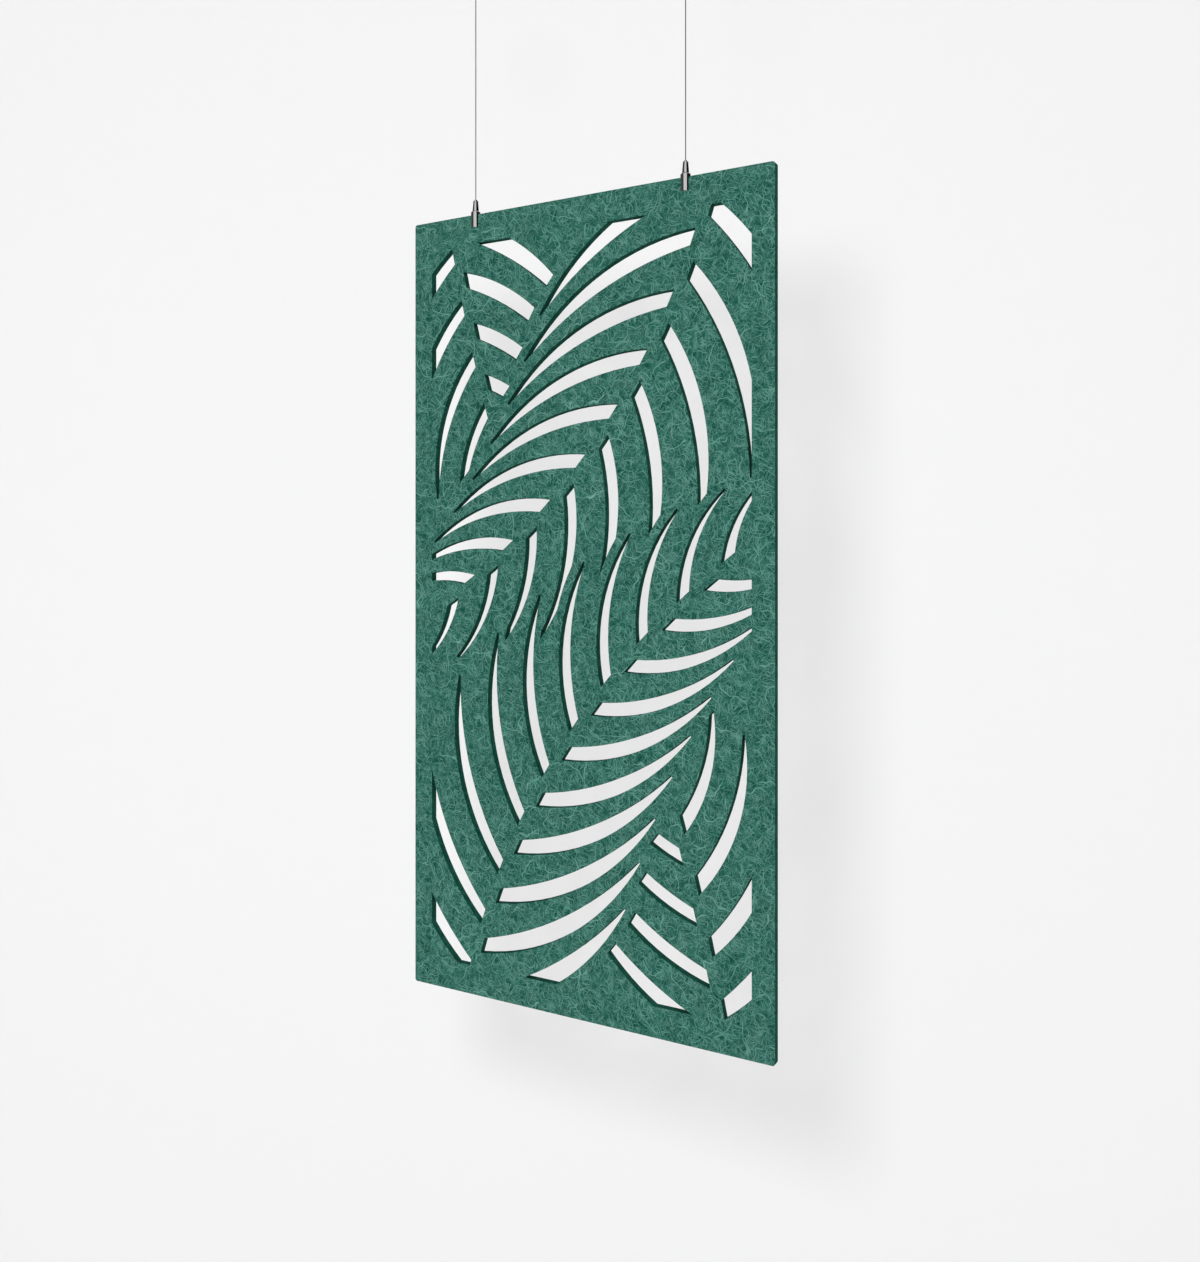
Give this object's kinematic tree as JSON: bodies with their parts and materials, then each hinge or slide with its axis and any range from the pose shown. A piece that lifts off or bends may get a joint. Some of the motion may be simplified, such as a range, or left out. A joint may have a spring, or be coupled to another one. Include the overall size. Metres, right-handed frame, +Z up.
{
  "type": "hanging divider panel",
  "caption": "Flat felt screen with leaf-shaped cut-outs, hung from the ceiling on thin cables with push-to-release grips, for dividing a room.",
  "frame": {"origin": "on the ceiling plane, midway between the screw holes of the ceiling bases", "axes": "+Z up towards the ceiling, +X to the right as seen from the front, front face towards -Y"},
  "size_m": [0.6, 0.0204, 1.565],
  "materials": {
    "felt": "matte pressed felt",
    "plated": "bright plated",
    "cable_steel": "bare steel"
  },
  "bodies": {
    "ceiling_fittings": {"left_ceiling_base": "plated", "left_ceiling_cap": "plated", "right_ceiling_base": "plated", "right_ceiling_cap": "plated"},
    "cable_stops": {"left_cable_stop": "cable_steel", "right_cable_stop": "cable_steel"},
    "left_cable": {"left_cable": "cable_steel"},
    "right_cable": {"right_cable": "cable_steel"},
    "left_bend": {"left_cable_bend": "cable_steel"},
    "right_bend": {"right_cable_bend": "cable_steel"},
    "cable_tails": {"left_cable_tail": "cable_steel", "right_cable_tail": "cable_steel"},
    "panel": {"felt_panel": "felt", "left_grip_barrel": "plated", "left_clamp_screw": "cable_steel", "left_grip_cone": "plated", "left_release_spring": "cable_steel", "right_grip_barrel": "plated", "right_clamp_screw": "cable_steel", "right_grip_cone": "plated", "right_release_spring": "cable_steel"},
    "left_collet": {"left_release_collet": "plated"},
    "right_collet": {"right_release_collet": "plated"}
  },
  "joints": [
    {"name": "swing", "type": "hinge", "parent": "ceiling_fittings", "child": "cable_stops", "pos_m": [0, 0, -0.02343], "axis": [1, 0, 0], "range_deg": [-20, 20]},
    {"name": "left_sway", "type": "hinge", "parent": "cable_stops", "child": "left_cable", "pos_m": [-0.177, 0, -0.02343], "axis": [0, 1, 0], "range_deg": [-12, 12]},
    {"name": "right_sway", "type": "hinge", "parent": "cable_stops", "child": "right_cable", "pos_m": [0.177, 0, -0.02343], "axis": [0, 1, 0], "range_deg": [-12, 12]},
    {"name": "left_level", "type": "hinge", "parent": "left_cable", "child": "left_bend", "pos_m": [-0.177, 0, -0.3311], "axis": [0, 1, 0], "range_deg": [-12, 12]},
    {"name": "right_level", "type": "hinge", "parent": "right_cable", "child": "right_bend", "pos_m": [0.177, 0, -0.3311], "axis": [0, 1, 0], "range_deg": [-12, 12]},
    {"name": "tilt", "type": "hinge", "parent": "left_bend", "child": "cable_tails", "pos_m": [0, 0, -0.3411], "axis": [1, 0, 0], "range_deg": [-20, 20]},
    {"name": "height_adjust", "type": "slide", "parent": "cable_tails", "child": "panel", "axis": [0, 0, -1], "range_m": [0, 0.01]},
    {"name": "left_release", "type": "slide", "parent": "panel", "child": "left_collet", "axis": [0, 0, -1], "range_m": [0, 0.0015], "stiffness_N_per_m": 1500, "springref_m": -0.001, "deforming": ["left_release_spring"]},
    {"name": "right_release", "type": "slide", "parent": "panel", "child": "right_collet", "axis": [0, 0, -1], "range_m": [0, 0.0015], "stiffness_N_per_m": 1500, "springref_m": -0.001, "deforming": ["right_release_spring"]}
  ],
  "couplings": [
    {"joint": "right_sway", "follows": "left_sway", "ratio": 1},
    {"joint": "left_level", "follows": "left_sway", "ratio": -1},
    {"joint": "right_level", "follows": "left_sway", "ratio": -1}
  ]
}
